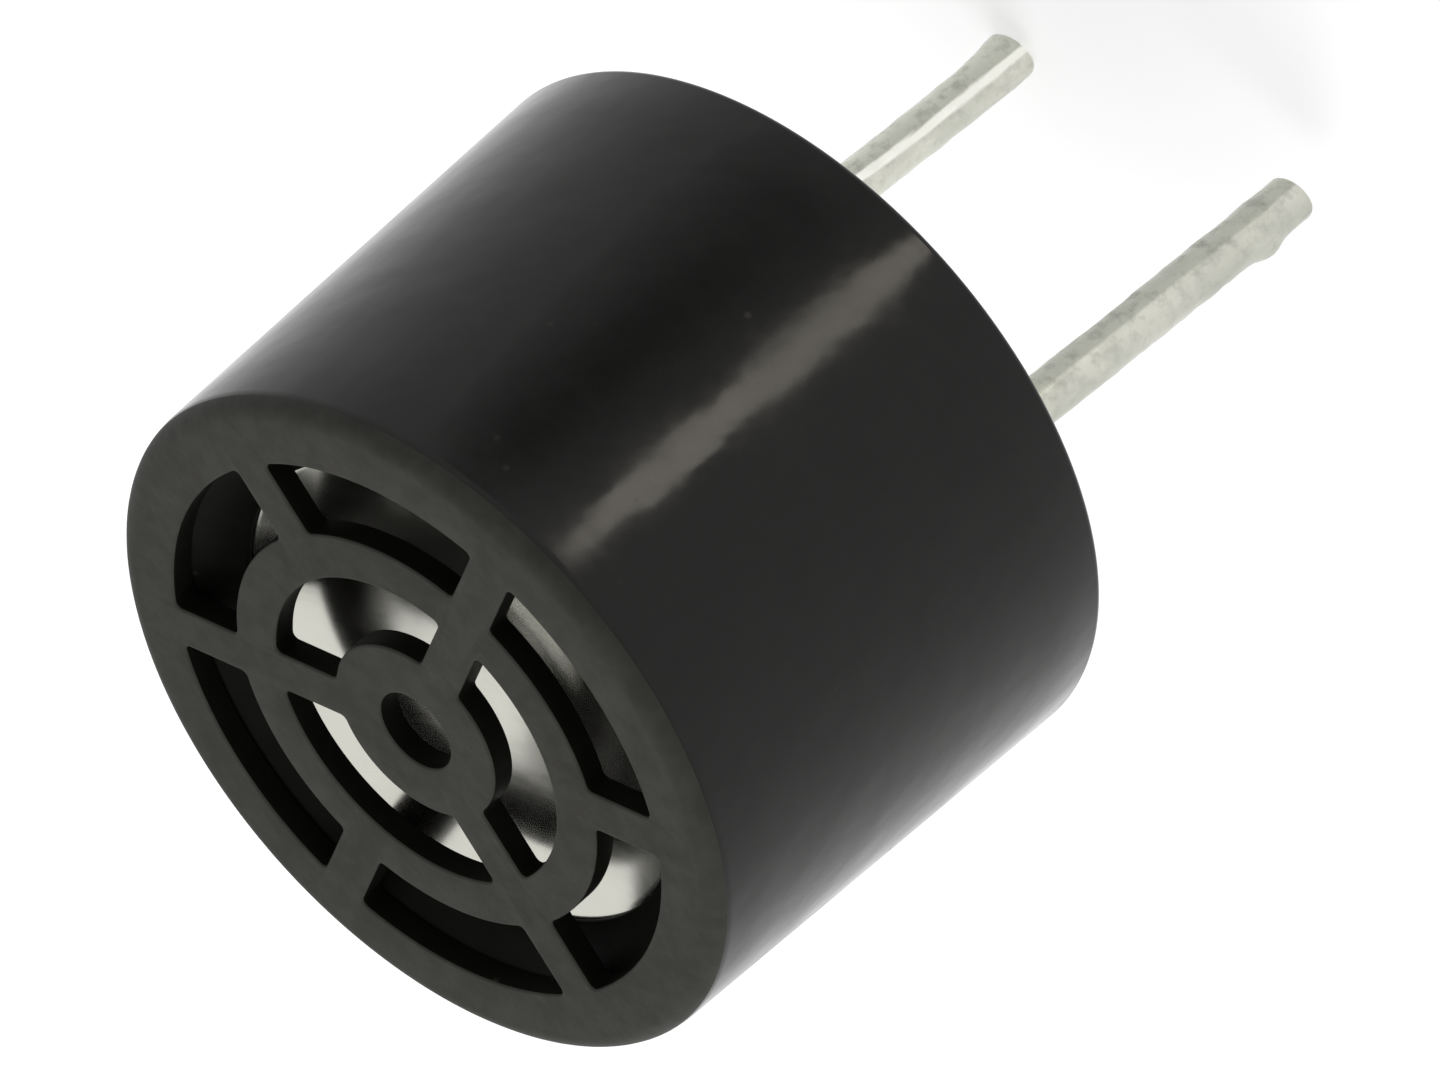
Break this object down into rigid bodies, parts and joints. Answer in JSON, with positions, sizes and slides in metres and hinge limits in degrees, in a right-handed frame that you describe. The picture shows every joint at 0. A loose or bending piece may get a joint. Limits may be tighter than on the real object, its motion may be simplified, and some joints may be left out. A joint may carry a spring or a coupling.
{
  "type": "magnetic buzzer",
  "caption": "Round black case with a slotted grille over a dished metal diaphragm, coil and magnet inside, and two tinned pins below for a circuit board.",
  "frame": {"origin": "centre of the seating plane, which is the rim around the open mouth of the case that lies on the circuit board", "axes": "+Z out through the grille; +X from the middle towards the long pin, along the line of both pins"},
  "size_m": [0.012, 0.012, 0.0172],
  "materials": {
    "case_plastic": "moulded black plastic, satin sides and a finely textured grille face",
    "ring_plastic": "moulded black plastic, matte",
    "diaphragm_metal": "bright rolled nickel alloy foil",
    "soft_iron": "plated soft iron, satin",
    "magnet": "dark grey ground ferrite",
    "bobbin_plastic": "natural moulded plastic, matte",
    "copper_wire": "enamelled copper wire",
    "board_laminate": "brown board laminate, matte",
    "tinned_pin": "hot-tinned wire, uneven and bright",
    "solder": "solder, smooth",
    "resin": "black casting resin, smooth"
  },
  "bodies": {
    "root": {"housing": "case_plastic", "retaining_ring": "ring_plastic", "diaphragm": "diaphragm_metal", "armature_disc": "soft_iron", "support_ring": "ring_plastic", "ring_magnet": "magnet", "yoke_plate": "soft_iron", "pole_core": "soft_iron", "coil_bobbin": "bobbin_plastic", "coil_winding": "copper_wire", "terminal_board": "board_laminate", "pin_long": "tinned_pin", "pin_short": "tinned_pin", "solder_joints": "solder", "sealing_resin": "resin"}
  },
  "joints": []
}
